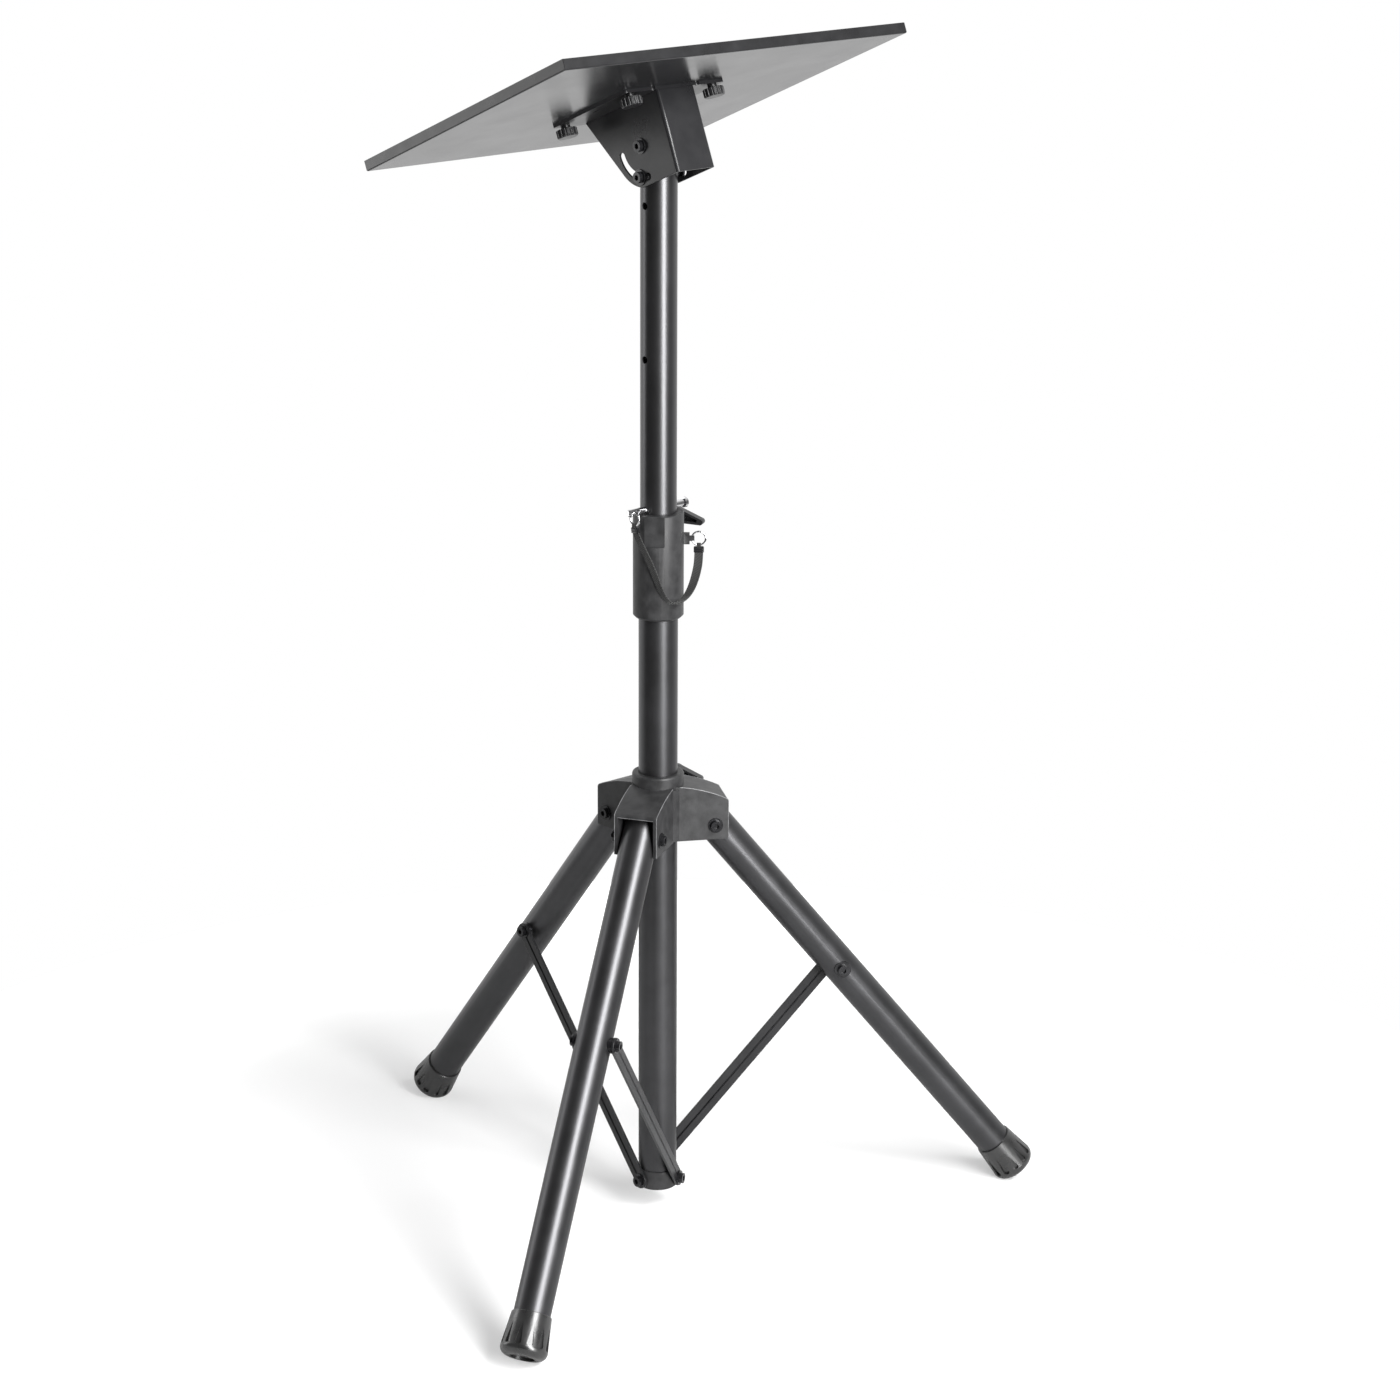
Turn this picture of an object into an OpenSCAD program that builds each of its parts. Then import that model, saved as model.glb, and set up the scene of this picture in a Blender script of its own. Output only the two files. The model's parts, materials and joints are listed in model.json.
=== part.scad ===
// Folding tripod stand with a telescoping mast and a tilting tray, in millimetres.
// The floor is Z = 0, the column stands on the Z axis, and the tray's tilt bolt lies along X.
// The raised front edge of the tray faces -Y, and the three legs stand 120 degrees apart.

/* [Column] */

// Outer diameter of the fixed lower tube
lower_tube_d = 38; // [32:0.5:50]
// Wall of the lower tube
lower_tube_wall = 1.45; // [1:0.05:3]
// Length of the lower tube
lower_tube_len = 664; // [500:1:800]
// Wall of the upper tube
upper_tube_wall = 1.5; // [1:0.1:3]
// Length of upper tube held inside the lower tube and the collar
mast_insert = 190; // [150:1:300]
// Height of the tilt bolt above the top of the collar
mast_rise = 350; // [320:1:420]
// Upper tube left standing above the tilt bolt
mast_over_bolt = 16; // [10:1:20]
// Distance between the height holes in the upper tube
pin_hole_pitch = 145; // [100:1:160]
// Height holes in sight, counting the one that the pin is in
pin_holes = 3; // [1:1:3]

/* [Collar] */

// Wall of the collar round the lower tube
collar_wall = 5.4; // [4:0.1:8]
// Collar above the end of the lower tube
collar_head = 30; // [24:1:40]
// Collar below the end of the lower tube
collar_skirt = 73.5; // [60:0.5:90]
// Chamfer at the foot of the collar
collar_chamfer = 2.4; // [1:0.1:4]
// Depth of the flat panel in the front of the collar
panel_depth = 2; // [1:0.1:3]
// Height of the clamp knob below the top of the collar
collar_knob_drop = 16; // [13:0.5:19]
// Height of the strap's lug below the top of the collar
lug_drop = 26.5; // [20:0.5:40]
// Length of the strap's lug, out from the collar
lug_len = 10; // [8:0.5:14]
// Width of the strap's lug, and height of the eye at its end
lug_w = 4.4; // [4:0.1:7]
// Height of the lug's block
lug_block_h = 11; // [8:0.5:12]

/* [Clamp knobs] */

// Direction of both clamp knobs, between two legs
knob_azimuth = 30; // [20:1:40]
// Length of one wing from the screw's axis
wing_len = 28; // [20:1:34]
// Width of a wing at its root
wing_root = 15; // [12:0.5:18]
// Width of a wing at its tip
wing_tip = 6; // [4:0.5:10]
// Thickness of the wings along the screw
wing_thick = 8; // [6:0.5:10]
// Turn of the wings about the screw
wing_turn = 12; // [-90:1:90]
// Diameter of the clamp screws
clamp_screw_d = 8; // [6:0.5:10]
// Distance from the column's axis to the near face of the wings
knob_reach = 50; // [46:1:60]
// Wall of the bosses round the clamp screws
boss_wall = 3.5; // [2.5:0.5:5]
// Length of each boss beyond the ring that carries it
boss_len = 14; // [8:0.5:18]

/* [Lock pin and strap] */

// Diameter of the lock pin
pin_d = 7; // [5:0.5:8]
// Length of pin on the strap's side of the column axis
pin_front = 38; // [34:1:44]
// Length of pin on the other side
pin_back = 34; // [30:1:38]
// Mean radius of the rings that hold the strap
ring_r = 6.6; // [5:0.1:7]
// Thickness of the rings' wire
ring_wire = 1.8; // [1.2:0.1:2.4]
// Width of the webbing
strap_w = 8.4; // [6:0.2:12]
// Thickness of the webbing
strap_t = 1.5; // [1:0.1:2.5]

/* [Hub] */

// Radius of the leg bolts round the column axis
hub_bolt_r = 53; // [50:0.5:60]
// Outer width of each arm
arm_w = 43; // [40:0.5:50]
// Wall of the arms
arm_wall = 3.4; // [2.5:0.1:5]
// Arm beyond the leg bolt
arm_over_bolt = 13; // [11:0.5:20]
// Depth of the arms below the leg bolt
arm_below_bolt = 14.5; // [12:0.5:18]
// Height of the arms' roof above the leg bolt, at the column
roof_rise = 42; // [38:0.5:46]
// Fall of the roof from the column to the end of an arm
roof_fall = 16; // [10:0.5:18]
// Rounding of the upper corner at the end of an arm
nose_r = 4; // [2:0.5:5]
// Thickness of the roof
roof_wall = 3; // [2:0.5:5]
// Height of the ring above the roof
ring_h = 10; // [8:0.5:16]
// Wall of the ring round the lower tube
ring_wall = 6.3; // [5:0.1:7]
// Wall of the core that the arms grow from
core_wall = 8.4; // [8:0.1:10]
// Height of the hub's clamp knob above the leg bolts
hub_knob_rise = 34.5; // [30:0.5:38]

/* [Legs] */

// Outer diameter of the leg tubes
leg_d = 35; // [28:0.5:38]
// Wall of the leg tubes
leg_wall = 1.2; // [0.8:0.1:2]
// Length from the leg bolt to the rubber foot
leg_len = 471; // [400:1:560]
// Angle between a leg and the column
leg_angle = 39; // [30:0.5:45]
// Leg tube beyond the leg bolt
leg_over_bolt = 13; // [10:0.5:16]
// Length of leg tube inside the foot
foot_grip = 30; // [20:1:34]
// Length of the rubber foot
foot_len = 41; // [38:1:50]
// Wall of the foot at its mouth
foot_wall = 1.5; // [1:0.1:3]
// Radius of the foot at its end
foot_r = 22.4; // [20:0.1:25]
// Rounding of the foot's end
foot_round = 8; // [5:0.5:9]
// Rubber worn flat where the foot meets the floor
foot_flat = 1.05; // [0.8:0.05:2]
// Number of grooves round the foot
foot_grooves = 12; // [6:1:14]
// Depth of the grooves
groove_depth = 1.3; // [0.6:0.1:2]
// Width of a groove at its lower end
groove_w = 6.4; // [4:0.2:8]
// Radius of the recess in the foot's end
foot_recess_r = 12; // [8:0.5:13]

/* [Braces] */

// Distance along the leg from its bolt to the brace bolt
brace_at = 208; // [180:1:260]
// Length of a brace between its holes
brace_len = 282.5; // [270:0.5:320]
// Width of the brace bars
brace_w = 16; // [12:0.5:20]
// Thickness of the brace bars
brace_t = 2.5; // [1.5:0.1:4]
// Gap between the leg tube and the brace bar, filled by a spacer
brace_stand_off = 3; // [2:0.1:5]

/* [Base cap] */

// Wall of the cap round the end of the lower tube
cap_wall = 1.3; // [1:0.1:1.4]
// Floor of the cap
cap_floor = 3; // [2:0.5:5]
// Cap below the brace bolts
cap_below = 8.6; // [6:0.1:10]
// Cap above the brace bolts
cap_above = 11; // [8:0.5:20]

/* [Bolts] */

// Diameter of the hinge bolts
bolt_d = 6; // [5:0.5:8]
// Diameter of the bolt heads
head_d = 10.4; // [9:0.1:12]
// Height of the bolt heads
head_h = 3.6; // [3:0.1:5]
// Width of the hexagon socket in a head, across its corners
socket_d = 5.8; // [4:0.1:7]
// Depth of the socket
socket_depth = 2.2; // [1:0.1:2.5]
// Width of the nuts across their corners
nut_d = 11.4; // [10:0.1:13]
// Height of the nuts
nut_h = 5.5; // [4:0.1:7]
// Bolt left standing beyond a nut
thread_end = 1.5; // [0.5:0.1:3]
// Diameter of the washers under the heads
washer_d = 15; // [12:0.5:18]
// Thickness of the washers
washer_t = 1; // [0.8:0.1:1.6]

/* [Tilting head] */

// Tilt of the tray as it stands, front edge up
head_tilt = 23; // [0:1:60]
// Outer width of the bent bracket
bracket_w = 45.2; // [43:0.2:52]
// Sheet thickness of the bracket
bracket_t = 2; // [1.5:0.1:3]
// Outer radius of the bracket's bends
bend_r = 3; // [2.2:0.1:4]
// Distance from the tilt bolt forward to the face of the bracket
bracket_front = 42.5; // [40:0.5:50]
// Depth of the bracket below the tilt bolt
bracket_below = 36.5; // [35:0.5:40]
// Length of the bracket's top edge behind the tilt bolt
bracket_back = 68; // [60:1:70]
// Radius of the round lower corner about the tilt bolt
bracket_round = 38.5; // [37:0.5:42]
// Radius of the slot's centre line about the tilt bolt
slot_r = 29; // [27:0.5:31]
// Width of the slot
slot_w = 7; // [6.6:0.1:9]
// Greatest tilt that the slot allows
slot_sweep = 86; // [70:1:86]

/* [Plate and tray] */

// Distance from the tilt bolt up to the underside of the tray
tray_rise = 44; // [42:0.5:50]
// Thickness of the mount plate
plate_t = 3; // [2:0.1:4]
// Width of the mount plate
plate_w = 120; // [114:1:140]
// Distance from a row of screws to the plate's edge
plate_edge = 7; // [6:0.5:12]
// Spacing of the thumb screws, both ways
screw_pitch = 100; // [100:1:110]
// Width of the tray
tray_w = 410; // [300:1:500]
// Depth of the tray from front to back
tray_depth = 315; // [240:1:400]
// Thickness of the tray
tray_t = 10.5; // [9:0.5:15]
// Rounding of the tray's edges
tray_round = 1.2; // [0.5:0.1:3]

/* [Thumb screws] */

// Diameter of the threaded shanks
thumb_d = 5; // [4:0.5:6]
// Depth that a shank reaches into the tray
thumb_bite = 8; // [5:0.5:8]
// Length of the plain neck under the plate
thumb_neck = 3; // [2:0.5:8]
// Diameter of the knurled head
thumb_head_d = 20; // [14:0.5:24]
// Height of the knurled head
thumb_head_h = 8; // [6:0.5:12]
// Number of grips round the head
thumb_grips = 16; // [8:1:20]

/* [Clearances] */

// Radial gap of the mast in the lower tube
slide_gap = 0.05; // [0.02:0.01:0.1]
// Radial gap of the hub and the collar on their tubes
hub_gap = 0.1; // [0.05:0.01:0.1]
// Radial gap of bolts and screws in their holes
bolt_gap = 0.05; // [0.02:0.01:0.1]
// Gap between faces that move past each other
face_gap = 0.3; // [0.2:0.05:0.5]

/* [Hidden] */

$fn = 96;
eps = 0.5;
leg_names = ["a", "b", "c"];
leg_azimuth = [-150, -30, 90];
// Side of each leg that the head of its hub bolt is on
head_side = [1, -1, 1];

// Legs, braces and hub follow from the foot that stands on the floor
foot_end = leg_len + foot_len;
leg_bolt_z = (foot_end - foot_round) * cos(leg_angle) + (foot_r - foot_round) * sin(leg_angle)
    + foot_round - foot_flat;
brace_top_r = hub_bolt_r + brace_at * sin(leg_angle);
brace_top_z = leg_bolt_z - brace_at * cos(leg_angle);
brace_drop = sqrt(brace_len * brace_len - brace_top_r * brace_top_r);
brace_bolt_z = brace_top_z - brace_drop;
brace_angle = asin(brace_top_r / brace_len);
brace_in = leg_d / 2 + brace_stand_off;
brace_out = brace_in + brace_t;

// Column
cap_bottom = brace_bolt_z - cap_below;
lower_tube_z = cap_bottom + cap_floor;
lower_tube_top = lower_tube_z + lower_tube_len;
lower_bore = lower_tube_d - 2 * lower_tube_wall;
upper_tube_d = lower_bore - 2 * slide_gap;
cap_r = lower_tube_d / 2 + cap_wall;
collar_r = lower_tube_d / 2 + collar_wall;
collar_top = lower_tube_top + collar_head;
collar_bottom = lower_tube_top - collar_skirt;
pin_z = collar_top + pin_d / 2 + face_gap;
mast_bottom = collar_top - mast_insert;
tilt_z = collar_top + mast_rise;
hub_knob_z = leg_bolt_z + hub_knob_rise;
lug_azimuth = -41;
lug_eye_r = collar_r + lug_len - 2.4;
pin_ring_x = -29.5;

// Hub
hub_r = lower_tube_d / 2 + ring_wall;
core_r = lower_tube_d / 2 + core_wall;
arm_end = hub_bolt_r + arm_over_bolt;
arm_in = arm_w - 2 * arm_wall;
hub_bottom = leg_bolt_z - arm_below_bolt;
roof_z = leg_bolt_z + roof_rise;
hub_top = roof_z + ring_h;
// The roof is an arc that is level at the column and drops by roof_fall at the arm's end
roof_arc = (arm_end * arm_end + roof_fall * roof_fall) / (2 * roof_fall);
// Height of the centre of the round corner at the arm's end
nose_z = roof_z - roof_arc + sqrt(pow(roof_arc - nose_r, 2) - pow(arm_end - nose_r, 2));

// Head
side_in = bracket_w / 2 - bracket_t;
plate_under = tray_rise - plate_t;
plate_depth = screw_pitch + 2 * plate_edge;
screw_mid = plate_depth / 2 - bracket_front;
neck_r = thumb_d / 2 + 2;

// Webbing from the lug's ring, round the front of the collar, to the ring on the pin.
// Each entry is azimuth, radius from the column, depth below the pin, and turn of the webbing
// about its length: 0 lies flat to the collar and 90 stands out from it.
strap_route = [
    [-41, 38.6, 38.2, 90], [-41, 38.6, 43, 90], [-42, 38.4, 49, 90], [-44, 37.9, 55.5, 90],
    [-48, 36.8, 62, 88], [-54, 35.4, 69, 86], [-62, 33.8, 76, 84], [-72, 32.2, 82, 82],
    [-84, 31, 86, 80], [-97, 30.4, 88, 78], [-109, 30, 86.5, 72], [-119, 29.6, 81, 64],
    [-127, 29.2, 73, 54], [-134, 28.8, 64, 44], [-141, 28.6, 55, 36], [-149, 28.6, 46, 30],
    [-157, 28.8, 38, 24], [-165, 29, 31, 16], [-172.5, 29.2, 24.5, 8], [-178.5, 29.4, 18.8, 2],
    [-180, 29.5, 14.5, 0],
];

// Helpers

module tube(outer, inner, length) {
    difference() {
        cylinder(d = outer, h = length);
        translate([0, 0, -eps]) cylinder(d = inner, h = length + 2 * eps);
    }
}

// Turns what is drawn along Z to point outward along +X
module outward() {
    rotate([0, 90, 0]) children();
}

// Turns what is drawn along Z to point along +Y
module sideways() {
    rotate([-90, 0, 0]) children();
}

// Round head with a hexagon socket, which rises along Z from a seat at Z = 0
module socket_head() {
    difference() {
        cylinder(d = head_d, h = head_h);
        translate([0, 0, head_h - socket_depth]) cylinder(d = socket_d, h = socket_depth + eps,
            $fn = 6);
    }
}

// The same head on a washer
module bolt_head() {
    cylinder(d = washer_d, h = washer_t);
    translate([0, 0, washer_t]) socket_head();
}

// Nut on a seat at Z = 0, with the end of its bolt standing out
module bolt_nut() {
    cylinder(d = nut_d, h = nut_h, $fn = 6);
    translate([0, 0, nut_h / 2]) cylinder(d = bolt_d, h = nut_h / 2 + thread_end);
}

// Rectangle with four round corners, made from true arcs
module round_rect(w, h, r) {
    square([w - 2 * r, h], center = true);
    square([w, h - 2 * r], center = true);
    for (x = [-1, 1], y = [-1, 1]) {
        translate([x * (w / 2 - r), y * (h / 2 - r)]) circle(r = r);
    }
}

// Straight slot between two points, w wide, with round ends
module bar_outline(length, w) {
    translate([0, -w / 2]) square([length, w]);
    circle(d = w);
    translate([length, 0]) circle(d = w);
}

module ring(r, wire) {
    rotate_extrude() translate([r, 0]) circle(d = wire, $fn = 32);
}

// Places

module at_azimuth(a) {
    rotate([0, 0, a]) children();
}

// Leg frame: Z runs down the leg from its bolt, Y is the counterclockwise side
module at_leg(i) {
    rotate([0, 0, leg_azimuth[i]])
        translate([hub_bolt_r, 0, leg_bolt_z])
            rotate([0, 180 - leg_angle, 0])
                children();
}

// Brace frame: X runs up the brace from its lower bolt, Y is the counterclockwise side
module at_brace(i) {
    rotate([0, 0, leg_azimuth[i]])
        translate([0, 0, brace_bolt_z])
            rotate([0, brace_angle - 90, 0])
                children();
}

// Head frame: X along the tilt bolt, Y to the back of the tray, Z up from the bolt
module at_head() {
    translate([0, 0, tilt_z]) rotate([-head_tilt, 0, 0]) children();
}

// Column

module lower_tube() {
    color("#202124")
    difference() {
        translate([0, 0, lower_tube_z]) tube(lower_tube_d, lower_bore, lower_tube_len);
        base_bolt_holes(lower_tube_d / 2);
    }
}

// Holes through the wall behind each lower brace bolt
module base_bolt_holes(r) {
    for (a = leg_azimuth) {
        at_azimuth(a) translate([0, r - 4, brace_bolt_z])
            sideways() cylinder(d = bolt_d + 2 * bolt_gap, h = 10);
    }
}

module base_cap() {
    color("#2c2d30")
    difference() {
        translate([0, 0, cap_bottom]) rotate_extrude() polygon([
            [0, 0], [cap_r - 1.2, 0], [cap_r, 1.2], [cap_r, cap_below + cap_above - 0.6],
            [cap_r - 0.6, cap_below + cap_above], [lower_tube_d / 2, cap_below + cap_above],
            [lower_tube_d / 2, cap_floor], [0, cap_floor]]);
        base_bolt_holes(lower_tube_d / 2);
    }
}

// Short bolts that carry the lower ends of the braces
module base_bolts() {
    color("#3a3b3e")
    for (a = leg_azimuth) {
        at_azimuth(a) translate([0, 0, brace_bolt_z]) sideways() {
            translate([0, 0, lower_tube_d / 2 - 3]) cylinder(d = bolt_d, h = brace_out + face_gap + 3
                - lower_tube_d / 2);
            translate([0, 0, brace_out + face_gap]) bolt_head();
        }
    }
}

module height_collar() {
    color("#2c2d30")
    difference() {
        union() {
            translate([0, 0, collar_bottom]) rotate_extrude() polygon([
                [lower_tube_d / 2, 0], [collar_r - collar_chamfer, 0], [collar_r, collar_chamfer],
                [collar_r, collar_head + collar_skirt - 1], [collar_r - 1, collar_head + collar_skirt],
                [upper_tube_d / 2 + hub_gap, collar_head + collar_skirt],
                [upper_tube_d / 2 + hub_gap, collar_skirt], [lower_tube_d / 2, collar_skirt]]);
            clamp_boss(collar_top - collar_knob_drop, collar_r, upper_tube_d / 2 + hub_gap);
            strap_lug();
        }
        clamp_hole(collar_top - collar_knob_drop);
        collar_panel();
        lug_eye();
    }
}

// Flat panel that faces the front, from the collar's top to the end of the lower tube
module collar_panel() {
    at_azimuth(-140) translate([collar_r - panel_depth, -collar_r, lower_tube_top])
        cube([panel_depth + eps, 2 * collar_r, collar_head + eps]);
}

// Boss on a ring for a clamp screw, cut back to the bore of the ring
module clamp_boss(z, r, bore_r) {
    difference() {
        at_azimuth(knob_azimuth) translate([0, 0, z]) outward()
            cylinder(d = clamp_screw_d + 2 * boss_wall, h = r + boss_len);
        translate([0, 0, z - 20]) cylinder(r = bore_r + 1, h = 40);
    }
}

module clamp_hole(z) {
    at_azimuth(knob_azimuth) translate([0, 0, z]) outward()
        cylinder(d = clamp_screw_d + 2 * bolt_gap, h = knob_reach);
}

// Block on the side of the collar, with a flat eye at its end for the strap's ring
module strap_lug() {
    at_azimuth(lug_azimuth) translate([collar_r, lug_w / 2, collar_top - lug_drop])
        rotate([90, 0, 0]) linear_extrude(lug_w) {
            translate([-2, -lug_block_h / 2]) square([lug_len - 2.6, lug_block_h]);
            translate([0, -lug_w / 2]) square([lug_len, lug_w]);
        }
}

module lug_eye() {
    at_azimuth(lug_azimuth) translate([lug_eye_r, 0, collar_top - lug_drop - 10])
        cylinder(d = ring_wire + 1.6, h = 20);
}

module strap_ring() {
    color("#d6d7d8")
    at_azimuth(lug_azimuth) translate([lug_eye_r + ring_r, 0, collar_top - lug_drop])
        sideways() ring(ring_r, ring_wire);
}

// Strap

function strap_point(p) = [p[1] * cos(p[0]), p[1] * sin(p[0]), pin_z - p[2]];
function unit(v) = v / norm(v);
function along(pts, i) =
    unit(pts[min(i + 1, len(pts) - 1)] - pts[max(i - 1, 0)]);
// Direction of the webbing's width
function strap_width(p, t) =
    let (out = [cos(p[0]), sin(p[0]), 0], flat = unit(cross(t, out)), face = cross(flat, t))
    unit(flat * cos(p[3]) + face * sin(p[3]));

module pin_strap() {
    pts = [for (p = strap_route) strap_point(p)];
    n = len(pts);
    rings = [for (i = [0 : n - 1])
        let (t = along(pts, i), w = strap_width(strap_route[i], t), s = cross(t, w))
        [for (k = [[1, 1], [-1, 1], [-1, -1], [1, -1]])
            pts[i] + w * k[0] * strap_w / 2 + s * k[1] * strap_t / 2]];
    faces = concat([[3, 2, 1, 0]], [[for (k = [0 : 3]) (n - 1) * 4 + k]],
        [for (i = [0 : n - 2], k = [0 : 3])
            [i * 4 + k, i * 4 + (k + 1) % 4, (i + 1) * 4 + (k + 1) % 4, (i + 1) * 4 + k]]);
    color("#1b1b1d") polyhedron(points = [for (r = rings, q = r) q], faces = faces, convexity = 6);
}

// Mast

module upper_tube() {
    color("#202124")
    difference() {
        translate([0, 0, mast_bottom]) tube(upper_tube_d, upper_tube_d - 2 * upper_tube_wall,
            tilt_z + mast_over_bolt - mast_bottom);
        for (i = [0 : pin_holes - 1]) {
            cross_hole(pin_z + i * pin_hole_pitch, pin_d + 2 * bolt_gap);
        }
        cross_hole(tilt_z, bolt_d + 2 * bolt_gap);
        cross_hole(tilt_z - slot_r, bolt_d + 2 * bolt_gap);
    }
}

module cross_hole(z, d) {
    translate([-lower_tube_d, 0, z]) outward() cylinder(d = d, h = 2 * lower_tube_d);
}

module lock_pin() {
    color("#d6d7d8")
    difference() {
        translate([-pin_front, 0, pin_z]) outward() rotate_extrude() polygon([
            [0, 0], [pin_d / 2 - 1, 0], [pin_d / 2, 1], [pin_d / 2, pin_front + pin_back - 3],
            [pin_d / 2 + 1.6, pin_front + pin_back - 3], [pin_d / 2 + 1.6, pin_front + pin_back],
            [0, pin_front + pin_back]]);
        // Flats and eye for the ring
        for (s = [-1, 1]) {
            translate([-pin_front - eps, s * (pin_d / 2 + 1.5) - pin_d / 2, pin_z - pin_d])
                cube([pin_front + pin_ring_x + 4 + eps, pin_d, 2 * pin_d]);
        }
        translate([pin_ring_x, -6, pin_z]) sideways() cylinder(d = ring_wire + 1.2, h = 12);
    }
}

// Ring through the pin's end that the strap is sewn round
module pin_ring() {
    color("#d6d7d8")
    translate([pin_ring_x, 0, pin_z - ring_r]) outward() ring(ring_r, ring_wire);
}

// Bolts through the mast: the upper one carries the bracket, the lower one locks its slots
module tilt_bolts() {
    color("#3a3b3e")
    for (z = [tilt_z, tilt_z - slot_r]) {
        translate([0, 0, z]) {
            translate([-bracket_w / 2 - face_gap, 0, 0]) outward()
                cylinder(d = bolt_d, h = bracket_w + 2 * face_gap);
            for (s = [-1, 1]) {
                mirror([s < 0 ? 1 : 0, 0, 0]) {
                    translate([bracket_w / 2 + face_gap, 0, 0]) outward() bolt_head();
                    spacer();
                }
            }
        }
    }
}

// Sleeve between the mast and one side of the bracket, fitted to the round of the tube
module spacer() {
    difference() {
        outward() cylinder(d = bolt_d + 5, h = side_in - face_gap);
        translate([0, 0, -10]) cylinder(d = upper_tube_d, h = 20);
    }
}

// Tilting head

module tilt_bracket() {
    color("#202124")
    at_head() difference() {
        intersection() {
            // Sheet bent to a channel, seen from above
            translate([0, 0, -bracket_below]) linear_extrude(bracket_below + plate_under)
                channel_outline();
            // Outline of the two sides
            translate([-bracket_w, 0, 0]) rotate([90, 0, 90]) linear_extrude(2 * bracket_w)
                side_outline();
        }
        translate([-bracket_w, 0, 0]) rotate([90, 0, 90]) linear_extrude(2 * bracket_w) {
            circle(d = bolt_d + 2 * bolt_gap);
            slot_outline();
        }
    }
}

module channel_outline() {
    length = bracket_front + bracket_back;
    difference() {
        translate([0, length / 2 - bracket_front]) {
            translate([0, bend_r / 2]) square([bracket_w, length - bend_r], center = true);
            translate([0, -length / 2 + bend_r / 2]) square([bracket_w - 2 * bend_r, bend_r], center = true);
            for (s = [-1, 1]) {
                translate([s * (bracket_w / 2 - bend_r), -length / 2 + bend_r]) circle(r = bend_r);
            }
        }
        translate([-side_in, bracket_t - bracket_front]) square([2 * side_in, length]);
    }
}

// Side of the bracket in the plane of Y and Z: upright front, round lower corner, slanted back
module side_outline() {
    low = -81;
    high = -31;
    polygon(concat(
        [[-bracket_front, plate_under], [-bracket_front, -bracket_below]],
        [[bracket_round * cos(low), -bracket_below]],
        [[bracket_round * cos(high), bracket_round * sin(high)]],
        [[bracket_back, plate_under]]));
    intersection() {
        circle(r = bracket_round);
        translate([0, -bracket_below]) square([bracket_round, bracket_below]);
    }
}

// Arc slot from straight below the bolt to the greatest tilt
module slot_outline() {
    difference() {
        intersection() {
            difference() {
                circle(r = slot_r + slot_w / 2);
                circle(r = slot_r - slot_w / 2);
            }
            polygon([[0, 0], [0, -2 * slot_r], [2 * slot_r, -2 * slot_r],
                [2 * slot_r * cos(slot_sweep - 90), 2 * slot_r * sin(slot_sweep - 90)]]);
        }
    }
    for (a = [-90, slot_sweep - 90]) {
        translate([slot_r * cos(a), slot_r * sin(a)]) circle(d = slot_w);
    }
}

module mount_plate() {
    color("#26272a")
    at_head() difference() {
        translate([0, screw_mid, plate_under]) linear_extrude(plate_t) difference() {
            round_rect(plate_w, plate_depth, 3);
            // Relief notches beside the bent-down front of the bracket
            for (s = [-1, 1]) {
                translate([s * (bracket_w / 2 + 4), -plate_depth / 2]) circle(d = 5);
                translate([s * (plate_w / 2 - 12), 4]) square([2, 8], center = true);
            }
        }
        at_screws() translate([0, 0, plate_under - eps]) cylinder(d = thumb_d + 2 * bolt_gap,
            h = plate_t + 2 * eps);
    }
}

module at_screws() {
    for (i = [0 : 3]) at_screw(i) children();
}

module at_screw(i) {
    x = (i % 2 == 0 ? -1 : 1) * screw_pitch / 2;
    y = (i < 2 ? -1 : 1) * screw_pitch / 2;
    translate([x, screw_mid + y, 0]) children();
}

module tray() {
    color("#3a3b3e")
    at_head() difference() {
        translate([0, screw_mid, tray_rise + tray_t / 2]) intersection() {
            translate([-tray_w, 0, 0]) rotate([90, 0, 90]) linear_extrude(2 * tray_w)
                round_rect(tray_depth, tray_t, tray_round);
            translate([0, tray_depth, 0]) rotate([90, 0, 0]) linear_extrude(2 * tray_depth)
                round_rect(tray_w, tray_t, tray_round);
        }
        at_screws() translate([0, 0, tray_rise - eps]) cylinder(d = thumb_d + 2 * bolt_gap,
            h = thumb_bite + eps + face_gap);
    }
}

module thumb_screw(i) {
    color("#1b1b1d")
    at_head() at_screw(i) translate([0, 0, plate_under - face_gap]) {
        cylinder(d = thumb_d, h = plate_t + face_gap + thumb_bite);
        translate([0, 0, -thumb_neck]) cylinder(r = neck_r, h = thumb_neck);
        translate([0, 0, -thumb_neck - thumb_head_h]) thumb_head();
    }
}

module thumb_head() {
    difference() {
        rotate_extrude() polygon([[0, 0], [thumb_head_d / 2 - 1, 0], [thumb_head_d / 2, 1],
            [thumb_head_d / 2, thumb_head_h - 0.6], [thumb_head_d / 2 - 0.6, thumb_head_h],
            [0, thumb_head_h]]);
        for (k = [1 : thumb_grips]) {
            rotate([0, 0, k * 360 / thumb_grips]) translate([thumb_head_d / 2 + 0.3, 0, -eps])
                cylinder(d = 2.2, h = thumb_head_h + 2 * eps, $fn = 24);
        }
    }
}

// Clamp knobs

// Winged knob on its screw, along Z with the wings' near face at Z = 0
module wing_knob(screw_len) {
    rotate([0, 0, wing_turn]) difference() {
        union() {
            linear_extrude(wing_thick) wings_outline();
            translate([0, 0, -3]) cylinder(d = clamp_screw_d + 6, h = wing_thick + 4.5);
        }
        // Hollow under each wing
        for (s = [-1, 1]) {
            mirror([s < 0 ? 1 : 0, 0, 0]) translate([clamp_screw_d / 2 + 4.5, 0, -eps])
                linear_extrude(wing_thick - 1.6 + eps) hollow_outline();
        }
    }
    translate([0, 0, -screw_len]) cylinder(d = clamp_screw_d, h = screw_len);
}

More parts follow.
